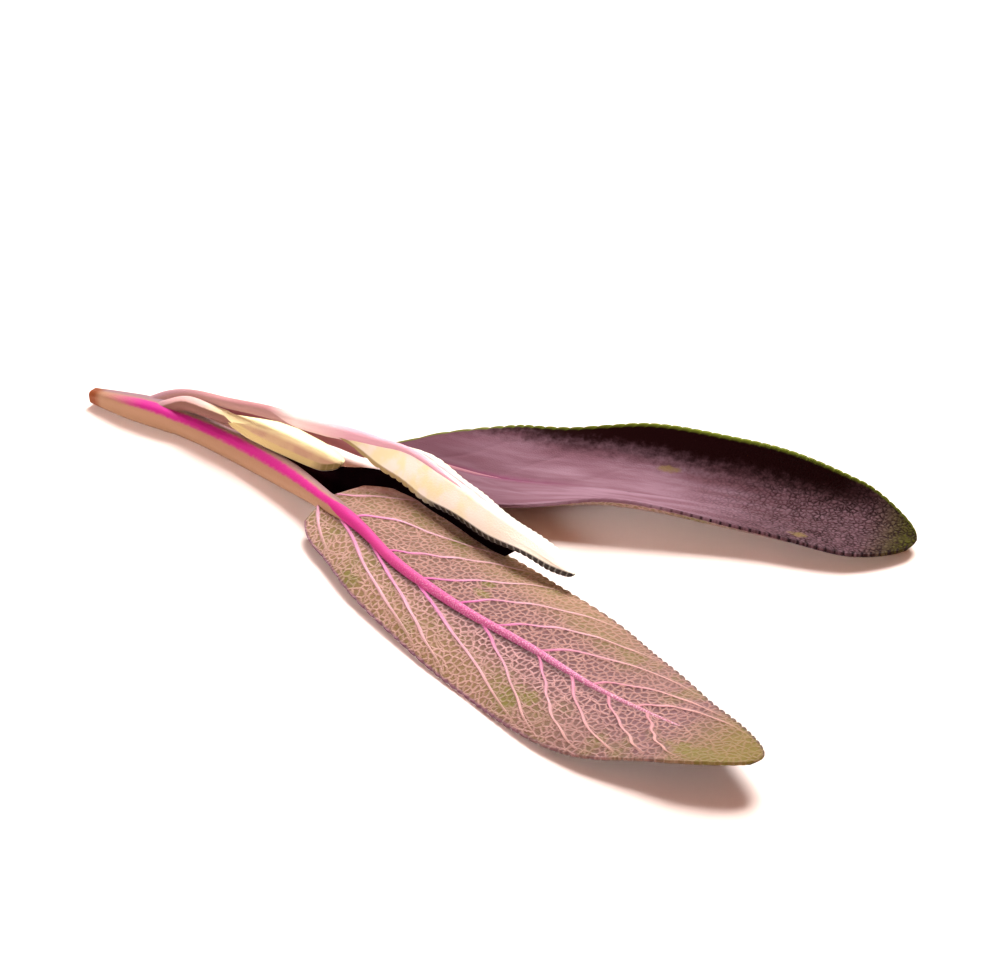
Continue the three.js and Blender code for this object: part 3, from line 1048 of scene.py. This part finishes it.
        # The teeth are 1.1 mm apart on the largest blade and stand out less towards its ends.
        tooth_wave = np.sqrt(np.abs(np.sin(math.pi * form.teeth * row)))
        tooth = form.tooth_height * tooth_wave * np.minimum(1, 8 * row * (1 - row) + 0.2)
        places, squares = np.zeros_like(grid), np.zeros_like(grid)
        t_all, reach_all, rim, vein, between = (np.zeros(len(grid)) for _ in range(5))
        for side in Side:
            chosen = signed >= 0 if side is Side.NEAR else signed < 0
            a = across[chosen]
            t = self.along(side, start[chosen], a)
            width = self.half_width(side, t)
            reach = width * a + tooth[chosen] * fade(a, form.teeth_from, 1.0)
            places[chosen], squares[chosen] = self.surface(side, t, a, reach)
            vein[chosen], between[chosen] = self.veins(side, t, a, width)
            t_all[chosen] = t
            reach_all[chosen] = -side.value * reach
            rim[chosen] = width * (1 - a)
        inside = np.sin(math.pi * np.clip(across, 0, 0.98)) ** 0.5
        fading = 1 - 0.6 * across
        shoulder = form.shoulder * np.exp(-((vein / form.shoulder_width) ** 2)) - form.hollow
        ridge = (np.exp(-((vein / form.ridge_width) ** 2)) + shoulder) * fading
        relief = form.lies.value * form.vein_relief * ridge * inside
        outer = across > 0.5
        bead_wave = np.abs(np.sin(math.pi * form.teeth * row))
        beads = form.bead * bead_wave * np.exp(-((rim / form.bead_reach) ** 2)) * outer
        near_rim = np.exp(-((rim / form.rim_reach) ** 2)) * outer
        lift = form.top - form.rim_drop * near_rim + relief + beads
        move_points(piece, (places + squares * lift[:, None] - FOOTPRINT_MIDDLE) * MM)
        vein_half = form.vein_width / 2 * (1 - 0.4 * across) * (1 - 0.3 * np.clip(t_all, 0, 1))
        closing = np.minimum(1, form.end_thickness + np.minimum(row, 1 - row) / form.end_share)
        note(
            piece,
            flat=np.stack([t_all * self.blade_spine.length, reach_all, np.zeros(len(grid))], -1),
            along=t_all,
            across=-signed,
            rim=rim,
            vein=vein / vein_half,
            between=between,
            tooth=tooth_wave,
            depth=form.thickness * (1 - (1 - form.rim_thickness) * near_rim) * closing,
            square=squares,
        )
        edit(
            piece,
            (bpy.ops.mesh.select_all, {"action": "SELECT"}),
            (bpy.ops.mesh.remove_doubles, {"threshold": 1e-7}),
        )
        thicken(piece, form.thickness, -1.0, finishes)
        # The lower side is set square under the upper one, thinner towards the rim and the ends.
        settled = points_of(piece)
        count = len(settled) // 2
        depth, square = read_note(piece, "depth")[:count], read_note(piece, "square")[:count]
        settled[count:] = settled[:count] - square * depth * MM
        settled[:, 2] = np.maximum(settled[:, 2], 0.0)
        move_points(piece, settled)
        bpy.ops.object.shade_smooth()
        return piece

    def rod(self) -> Piece:
        """Builds the stalk and midrib as one rod, which stands out on the underside of the blade.

        Returns:
            The rod.
        """
        form = self.form
        points = (*form.root, *form.stalk, *form.midrib)
        joint = (len(form.root) + len(form.stalk)) / (len(points) - 1)
        whole = Spine(points)
        blade_from = Spine(points, stop=joint).length / whole.length

        def size(t: Array) -> tuple[Array, Array]:
            """Gives the rod's radius and how far its middle stands out from the blade's.

            Args:
                t: Shares of the rod's length.

            Returns:
                Both, in millimetres.
            """
            share = np.maximum((t - blade_from) / (1 - blade_from), 0)
            stalk = value_at(form.stalk_radius, t / blade_from)
            radius = np.where(t < blade_from, stalk, value_at(form.midrib_radius, share))
            return radius, form.lies.value * form.midrib_rise * radius * np.minimum(1, 8 * share)

        return bend_rod(f"{form.name}_midrib", whole, size, blade_from + (1 - blade_from) * form.rod_stop)


def bend_rod(
    name: str,
    spine: Spine,
    size: Callable[[Array], tuple[Array, Array | float]],
    stop: float = 1.0,
    sides: int = 28,
    cuts: tuple[int, int] = (12, 13),
    squareness: float = 0.0,
    cut_face: bool = False,
) -> Piece:
    """Makes a rod from a cylinder that is cut into rings and bent on to a spine.

    Args:
        name: The piece's name.
        spine: The line that it follows.
        size: Gives the radius at shares of the spine's length, and how far the middle is moved along the upward
            normal there, in millimetres.
        stop: The share of the spine where it stops.
        sides: Sides of the cylinder.
        cuts: How often each length is cut, in two rounds.
        squareness: How far its four corners stand out, as a share of the radius.
        cut_face: Whether its start shows a cut with a rim and a pith.

    Returns:
        The rod, with its attributes.
    """
    piece = start_piece(name, bpy.ops.mesh.primitive_cylinder_add, vertices=sides, radius=1, depth=1)
    if cut_face:
        for face in piece.data.polygons:
            face.select = face.normal.z < -0.9
        edit(piece, *((bpy.ops.mesh.inset, {"thickness": inward}) for inward in CUT_RINGS))
    for count in cuts:
        edit(piece, (bpy.ops.mesh.select_mode, {"type": "EDGE"}), (bpy.ops.mesh.select_all, {"action": "DESELECT"}))
        shape = points_of(piece)
        for edge in piece.data.edges:
            a, b = edge.vertices
            edge.select = bool(abs(shape[a][2] - shape[b][2]) > 1e-4)
        edit(piece, (bpy.ops.mesh.subdivide, {"number_cuts": count}))
    shape = points_of(piece)
    t = stop * np.clip(shape[:, 2] + 0.5, 0, 1)
    place, _, near, normal = spine.frame(t)
    turn = np.arctan2(shape[:, 1], shape[:, 0])
    outward = np.hypot(shape[:, 0], shape[:, 1])
    radius, rise = size(t)
    reach = radius * outward * (1 - squareness * np.cos(4 * turn))
    place = place + near * (reach * np.cos(turn))[:, None] + normal * (reach * np.sin(turn) + rise)[:, None]
    place[:, 2] = np.maximum(place[:, 2], 0.0)
    move_points(piece, (place - FOOTPRINT_MIDDLE) * MM)
    note(piece, along=t, top=np.sin(turn) * outward, nearness=np.cos(turn) * outward)
    bpy.ops.object.shade_smooth()
    return piece


@dataclass(frozen=True)
class ShadeSheet:
    """Painted shade beneath the middle leaf: a dark sheet shaped like its near half's lower part turned in under it.
    """

    base: Points = (
        (-20.9, 3.8, 2.2), (-18.0, 1.7, 2.5), (-16.3, 0.7, 2.45), (-14.2, -0.4, 2.7), (-12.0, -1.4, 3.2),
    )
    base_foot: Points = (
        (-20.9, 3.2, 0.8), (-18.0, 0.6, 0.3), (-16.3, -0.8, 0.3), (-13.8, -1.6, 0.3), (-11.2, -2.2, 0.3),
    )
    shares: tuple[float, ...] = (0.32, 0.42, 0.52, 0.62, 0.72, 0.8)
    inset: float = 0.25
    foot_height: float = 0.4
    bulge: float = 0.35
    thickness: float = 0.3
    height: float = 3.0
    off_rim: float = 2.0
    columns: int = 10
    rows: int = 180
    closes_over: tuple[float, float] = (0.04, 0.12)

    def build(self, leaf: Leaf, *finishes: Paint) -> Piece:
        """Builds the painted-shade sheet from a grid between the leaf's edge and a foot line under its midrib.

        Args:
            leaf: The leaf that it belongs to.
            *finishes: The materials of its two sides.

        Returns:
            The sheet, a closed shell.
        """
        t = np.array(self.shares)
        one = np.ones(len(t))
        edge, _ = leaf.surface(Side.NEAR, t, one, leaf.half_width(Side.NEAR, t) - self.inset)
        foot = leaf.blade_spine.point(t)
        foot[:, 2] = self.foot_height
        top = Spine([*self.base, *edge.tolist()])
        low = Spine([*self.base_foot, *foot.tolist()])
        piece = start_piece(
            "leaf_middle_shade_sheet",
            bpy.ops.mesh.primitive_grid_add,
            x_subdivisions=self.columns,
            y_subdivisions=self.rows,
            size=2,
            calc_uvs=False,
        )
        grid = points_of(piece)
        along, down = (grid[:, 1] + 1) / 2, (grid[:, 0] + 1) / 2
        at_base, at_tip = self.closes_over
        closing = np.minimum(1, np.minimum(along / at_base, (1 - along) / at_tip))[:, None]
        upper, lower = top.point(along), low.point(along)
        lower = upper + (lower - upper) * closing
        places = upper + (lower - upper) * down[:, None]
        places[:, 1] -= self.bulge * np.sin(math.pi * down) * closing[:, 0]
        move_points(piece, (places - FOOTPRINT_MIDDLE) * MM)
        zero = np.zeros(len(grid))
        note(
            piece,
            flat=np.stack([along * top.length, down * self.height, zero], -1),
            along=along,
            across=zero,
            rim=zero + self.off_rim,
            tooth=zero,
        )
        thicken(piece, self.thickness, 0.0, finishes)
        bpy.ops.object.shade_smooth()
        return piece


@dataclass(frozen=True)
class Stem:
    """The short cut stem, which swells to the node that the leaf stalks grow from.

    Its axis and radii are at equal shares of its length, in millimetres.
    """

    axis: Points = (
        (-39.4, 15.87, 0.85), (-38.0, 14.8, 1.05), (-36.0, 13.5, 1.2), (-34.0, 12.35, 1.3),
        (-32.0, 11.2, 1.3), (-30.3, 10.05, 1.2), (-29.2, 9.25, 1.15),
    )
    radii: tuple[float, ...] = (0.74, 0.95, 1.15, 1.3, 1.34, 1.24, 0.8)
    squareness: float = 0.08

    def build(self) -> Piece:
        """Builds the stem with its cut face.

        Returns:
            The stem.
        """
        return bend_rod(
            "cut_stem",
            Spine(self.axis),
            lambda t: (value_at(self.radii, t), 0.0),
            sides=48,
            cuts=(9, 9),
            squareness=self.squareness,
            cut_face=True,
        )


@dataclass(frozen=True)
class Lamp:
    """A round area light: its power in watts, its sizes in metres, its spread in degrees and the way to it."""

    name: str
    power: float
    size: float
    distance: float
    way: tuple[float, float, float]
    target: tuple[float, float, float]
    spread: float = 180.0

    def build(self) -> None:
        """Adds the light and turns it to its target."""
        bpy.ops.object.light_add(type="AREA")
        lamp = bpy.context.object
        lamp.name = self.name
        lamp.data.energy = self.power
        lamp.data.shape = "DISK"
        lamp.data.size = self.size
        lamp.data.spread = math.radians(self.spread)
        way = Vector(self.way).normalized()
        lamp.location = Vector(self.target) + way * self.distance
        lamp.rotation_euler = (-way).to_track_quat("-Z", "Y").to_euler()


@dataclass(frozen=True)
class Studio:
    """The table, the light and the camera. Sizes are metres, angles degrees, the lens and its sensor millimetres."""

    target: tuple[float, float, float] = (0.001, 0.0152, 0.0)
    distance: float = 0.3
    elevation: float = 32.0
    lens: float = 116.1
    sensor: float = 36.0
    nearest: float = 0.01
    table: float = 4.0
    lamps: tuple[Lamp, ...] = (
        Lamp("key_light", power=6.0, size=0.3, distance=0.5, way=(0.2, 0.58, 0.79), target=(0.001, 0.0152, 0.0)),
        Lamp(
            "front_light",
            power=0.036,
            size=0.15,
            distance=0.35,
            way=(-0.5, -0.75, 0.45),
            target=(-0.032, 0.022, 0.0),
            spread=20.0,
        ),
    )
    fill: str = "#ffb295"
    fill_strength: float = 0.34

    def build(self) -> None:
        """Builds the table, a soft key light from behind and above, a weak front light, a warm fill and the camera."""
        floor = start_piece("table_top", bpy.ops.mesh.primitive_plane_add, size=self.table)
        floor.data.materials.append(TableTop().material("matt painted board"))
        for lamp in self.lamps:
            lamp.build()
        world = bpy.data.worlds.new("soft room light")
        bpy.context.scene.world = world
        world.use_nodes = True
        back = world.node_tree.nodes["Background"]
        back.inputs["Color"].default_value = linear(self.fill)
        back.inputs["Strength"].default_value = self.fill_strength
        tilt = math.radians(self.elevation)
        bpy.ops.object.camera_add(rotation=(math.pi / 2 - tilt, 0, 0))
        camera = bpy.context.object
        camera.name = "camera"
        camera.location = Vector(self.target) + Vector((0, -math.cos(tilt), math.sin(tilt))) * self.distance
        camera.data.lens = self.lens
        camera.data.sensor_width = self.sensor
        camera.data.clip_start = self.nearest
        bpy.context.scene.camera = camera
        bpy.context.scene.view_settings.view_transform = "Standard"


FRONT = LeafForm(
    name="leaf_front",
    slot="leaf_underside",
    stalk=((-30.3, 10.1, 1.15), (-28.5, 8.8, 1.15), (-25.5, 6.2, 1.2), (-22.1, 2.7, 1.4), (-18.8, -1.4, 1.8)),
    midrib=(
        (-16.0, -5.6, 2.3), (-12.3, -11.2, 2.45), (-9.2, -16.4, 2.3), (-3.4, -23.2, 2.05),
        (2.5, -28.8, 1.85), (8.0, -34.8, 1.9), (13.3, -39.4, 2.1), (21.1, -45.9, 2.9),
    ),
    lies=Lies.UNDERSIDE_UP,
    rows=350,
    columns=66,
    teeth=50,
    stalk_radius=(1.15, 1.28, 1.4, 1.3, 0.95),
    midrib_radius=(0.95, 0.55, 0.52, 0.48, 0.43, 0.37, 0.29, 0.2, 0.1),
    midrib_rise=0.6,
    vein_relief=0.16,
    root=((-35.0, 13.0, 1.2), (-32.6, 11.6, 1.2)),
    rod_stop=0.95,
    near=Half(
        widths=(3.9, 4.2, 4.8, 5.7, 6.9, 7.4, 7.1, 4.8, 3.3),
        lift=(-25, -14, -8, -4, 5),
        curl=(0, -23, -23, -16, 10),
        lobe=0.015,
        veins=(
            (-0.02, 0.18, 1.9), (0.04, 0.38, 1.1), (0.15, 0.33, 0.95), (0.285, 0.38, 1.15), (0.445, 0.25, 1.1),
            (0.56, 0.2, 1.05), (0.63, 0.19, 1.0), (0.715, 0.15, 1.0), (0.785, 0.12, 1.0),
        ),
    ),
    far=Half(
        widths=(7.6, 8.8, 9.4, 9.7, 9.1, 8.2, 6.7, 3.9, 2.4),
        lift=(-2, -3, -1, -1, 0),
        curl=(0, -10, -10, -8, 0),
        lobe=0.03,
        base_round=0.17,
        veins=(
            (-0.02, 0.14, 1.4), (0.08, 0.25, 1.7), (0.2, 0.2, 1.5), (0.285, 0.185, 1.1), (0.385, 0.22, 1.6),
            (0.465, 0.26, 1.5), (0.555, 0.3, 1.5), (0.68, 0.26, 1.4), (0.765, 0.22, 1.4),
        ),
    ),
)

BACK = LeafForm(
    name="leaf_back",
    slot="leaf_upper_side",
    stalk=((-30.1, 13.9, 1.1), (-26.2, 12.4, 1.2), (-20.4, 9.4, 1.5), (-15.4, 6.4, 1.7)),
    midrib=(
        (-12.6, 4.6, 1.6), (-7.0, 2.6, 1.2), (0.2, -0.1, 0.9), (9.2, -1.4, 0.66),
        (18.4, -3.9, 0.68), (27.3, -6.9, 0.85), (37.58, -10.36, 0.9),
    ),
    lies=Lies.UPPER_SIDE_UP,
    rows=336,
    columns=68,
    teeth=48,
    stalk_radius=(0.8, 0.75, 0.85),
    midrib_radius=(0.7, 0.36, 0.3, 0.24, 0.16),
    midrib_rise=0.0,
    vein_relief=0.06,
    root=((-34.5, 12.9, 1.5), (-32.3, 13.5, 1.4)),
    near=Half(
        widths=(2.8, 4.4, 6.2, 6.8, 6.7, 6.0, 5.3, 5.1, 3.8),
        lift=(3, 12, 18, 6, 0),
        curl=(0, -5, 25, 25, 0),
        veins=tuple((0.06 + 0.14 * k, sweep, 1.1) for k, sweep in enumerate((0.2, 0.22, 0.22, 0.2, 0.18, 0.14))),
    ),
    far=Half(
        widths=(1.8, 5.6, 7.1, 7.1, 8.3, 8.1, 7.4, 5.5, 3.4),
        lift=(5, 8, 6, 8, 10),
        curl=(5, 24, 78, 92, 40),
        base_round=0.26,
        veins=tuple((0.1 + 0.14 * k, sweep, 1.1) for k, sweep in enumerate((0.2, 0.22, 0.22, 0.2, 0.16, 0.12))),
    ),
)

MIDDLE = LeafForm(
    name="leaf_middle",
    slot="pale_felt_leaf",
    stalk=((-29.9, 12.3, 3.0), (-25.4, 7.6, 4.8), (-21.8, 5.0, 5.5), (-18.6, 2.5, 5.9)),
    midrib=(
        (-15.6, 0.8, 6.0), (-11.0, -1.8, 6.1), (-8.4, -3.3, 6.1), (-5.0, -6.9, 5.7),
        (-1.6, -10.7, 5.1), (1.4, -13.8, 4.5), (4.4, -16.6, 3.6), (6.5, -18.9, 2.8),
    ),
    lies=Lies.UNDERSIDE_UP,
    rows=238,
    columns=24,
    teeth=34,
    stalk_radius=(0.6, 0.54, 0.72),
    midrib_radius=(0.7, 0.4, 0.26, 0.18, 0.12),
    midrib_rise=0.2,
    vein_relief=0.06,
    root=((-34.0, 12.6, 1.8), (-31.8, 12.9, 2.5)),
    near=Half(
        widths=(0.4, 1.3, 2.5, 2.8, 2.5, 2.2, 1.8, 1.25, 0.7),
        lift=(-50, -52, -54, -45, -20),
        curl=(0, -12, -12, -10, 0),
        base_round=0.02,
        tip_round=0.1,
        wave=0.15,
    ),
    far=Half(
        widths=(0.5, 1.6, 2.8, 2.85, 2.35, 2.0, 1.9, 1.6, 1.0),
        lift=(-33, -33, -33, -33, -20),
        base_round=0.02,
        tip_round=0.1,
        wave=0.1,
    ),
)

SMALL = LeafForm(
    name="leaf_small",
    slot="young_leaf",
    stalk=((-29.9, 10.6, 3.0), (-27.8, 8.7, 3.45)),
    midrib=((-25.8, 7.0, 3.65), (-21.2, 3.8, 3.85), (-18.0, 1.5, 3.7), (-14.6, -0.9, 3.2)),
    lies=Lies.UNDERSIDE_UP,
    rows=112,
    columns=20,
    teeth=16,
    stalk_radius=(0.8, 0.75, 0.65),
    midrib_radius=(0.6, 0.3, 0.22, 0.2, 0.18),
    midrib_rise=0.0,
    vein_relief=0.04,
    root=((-33.0, 11.7, 1.5), (-31.4, 11.3, 2.3)),
    near=Half(
        widths=(0.5, 0.9, 1.3, 1.5, 1.6, 1.6, 1.55, 1.4, 1.1),
        lift=(-34, -38, -40, -44, -40),
        tip_round=0.15,
    ),
    far=Half(
        widths=(0.5, 0.9, 1.4, 1.8, 1.9, 1.8, 1.8, 1.8, 1.5),
        lift=(-5, -5, -5, -10, -20),
        tip_round=0.15,
    ),
    tooth_height=0.0,
    bead=0.0,
)


# Each material of the sprig, with what it gives the eye and the painted light and shade that some of them carry.
FINISHES: dict[str, Finish] = {
    # Tan herb skin under a magenta flush, and a dry orange-brown at the cut: nearly matt, with a faint silky gloss.
    "sage stem skin": GreenStalk(starts=(0.1, 0.6), stripe_from=(0.93, 1.05), lean=0.5, cut="#7d3c16"),
    # Soft and matt, with a raised pale net over darker pits and pink side veins, a painted shadow beside the midrib,
    # painted light on the near half's net and painted shade on the far rim's teeth.
    "downy sage underside": LeafUnderside(),
    # Dusty purple without highlights, pebbled towards the tip with painted shade between the pebbles,
    # and painted shade, nearly black, on the curled far rim.
    "downy sage upper side": LeafUpperSide(),
    # Chalky cream that scatters light, with faint pink streaks beside the midrib.
    "felted sage leaf": LeafFelt(streak="#c79aa8"),
    # Painted shade: a black sheet that stands for the deep shade under the middle leaf, without any sheen.
    "black painted shade under the middle leaf": LeafFelt(
        cream="#080203", yellow="#0c0305", lower="#080203", base="#6a3040", edge="#080203", sheen=0.0, gloss=0.0
    ),
    # The other side of the painted-shade sheet, which gets some light: a dull mauve.
    "dusky back of the painted shade sheet": LeafFelt(
        cream="#6a4450", yellow="#5c3a48", lower="#6a4450", base="#5a3440", edge="#4a2c38", sheen=0.1, gloss=0.1
    ),
    # A fresh pale yellow, matt, with painted shade, a tan, on the side away from the light.
    "felted young sage leaf": LeafFelt(
        cream="#fbf4b8",
        yellow="#f8ef9e",
        lower="#c39c80",
        base="#d2bb80",
        edge="#7d6a3c",
        edge_from=0.8,
        edge_width=0.7,
        blotches_until=0.2,
    ),
    # A glowing magenta stripe between tan flanks, paler and frosted with white hairs towards the tip.
    "sage midrib": GreenStalk(
        far="#80605f",
        stripe=((0.0, "#b31c7a"), (0.35, "#b51c76"), (0.5, "#b83a7c"), (0.75, "#b45e88"), (1.0, "#a88078")),
        wide_from=0.345,
        stripe_from=(0.95, 1.07),
        lean=0.5,
        frost=0.75,
    ),
    # A quiet mauve stalk, dull, hardly lighter on its far side.
    "mauve sage stalk": GreenStalk(near="#a0656a", far="#b0848a", stripe=((0.0, "#a0656a"), (1.0, "#8a5a6c"))),
    # A dull pinkish stalk that turns into a cream ridge with a rosy stretch in its middle.
    "flushed sage stalk": GreenStalk(
        near="#a27b74",
        far="#ae8b89",
        stripe=(
            (0.0, "#96727a"), (0.15, "#ad7c7c"), (0.3, "#a87676"), (0.37, "#e6cfc8"),
            (0.48, "#d4a0ac"), (0.7, "#d4a0ac"), (0.85, "#f0ddd0"), (1.0, "#f6ecdc"),
        ),
        wide_from=0.3,
    ),
    # A dull rosy stalk that fades into the young leaf's yellow, with painted shade, a dark brown, on its near flank.
    "pale sage stalk": GreenStalk(
        near="#7d564c",
        far="#a98088",
        stripe=((0.0, "#8d6a74"), (0.12, "#c79c9a"), (0.28, "#d9b2a8"), (0.42, "#f2e6b0"), (1.0, "#eadf9a")),
        wide_from=0.4,
    ),
}

# Each leaf, with the finishes of its upward side, its downward side, and its stalk and midrib.
LEAVES = (
    (FRONT, "downy sage underside", "downy sage upper side", "sage midrib"),
    (BACK, "downy sage upper side", "downy sage underside", "mauve sage stalk"),
    (MIDDLE, "felted sage leaf", "felted sage leaf", "flushed sage stalk"),
    (SMALL, "felted young sage leaf", "felted young sage leaf", "pale sage stalk"),
)


def main() -> None:
    """Builds the studio, the stem and the leaves, and dresses them."""
    logging.basicConfig(level=logging.INFO, format="%(name)s: %(message)s")
    Studio().build()
    paints = {name: finish.material(name) for name, finish in FINISHES.items()}
    wear(Stem().build(), "stem", "stem_bark", paints["sage stem skin"])
    for form, top, below, rod in LEAVES:
        leaf = Leaf(form)
        wear(leaf.blade(paints[top], paints[below]), form.name, form.slot)
        wear(leaf.rod(), form.name, form.slot, paints[rod])
    # A dark sheet of painted shade under the middle leaf's near half.
    shade_sheet = ShadeSheet().build(Leaf(MIDDLE), paints["black painted shade under the middle leaf"], paints["dusky back of the painted shade sheet"])
    wear(shade_sheet, MIDDLE.name, MIDDLE.slot)


if __name__ == "__main__":
    main()
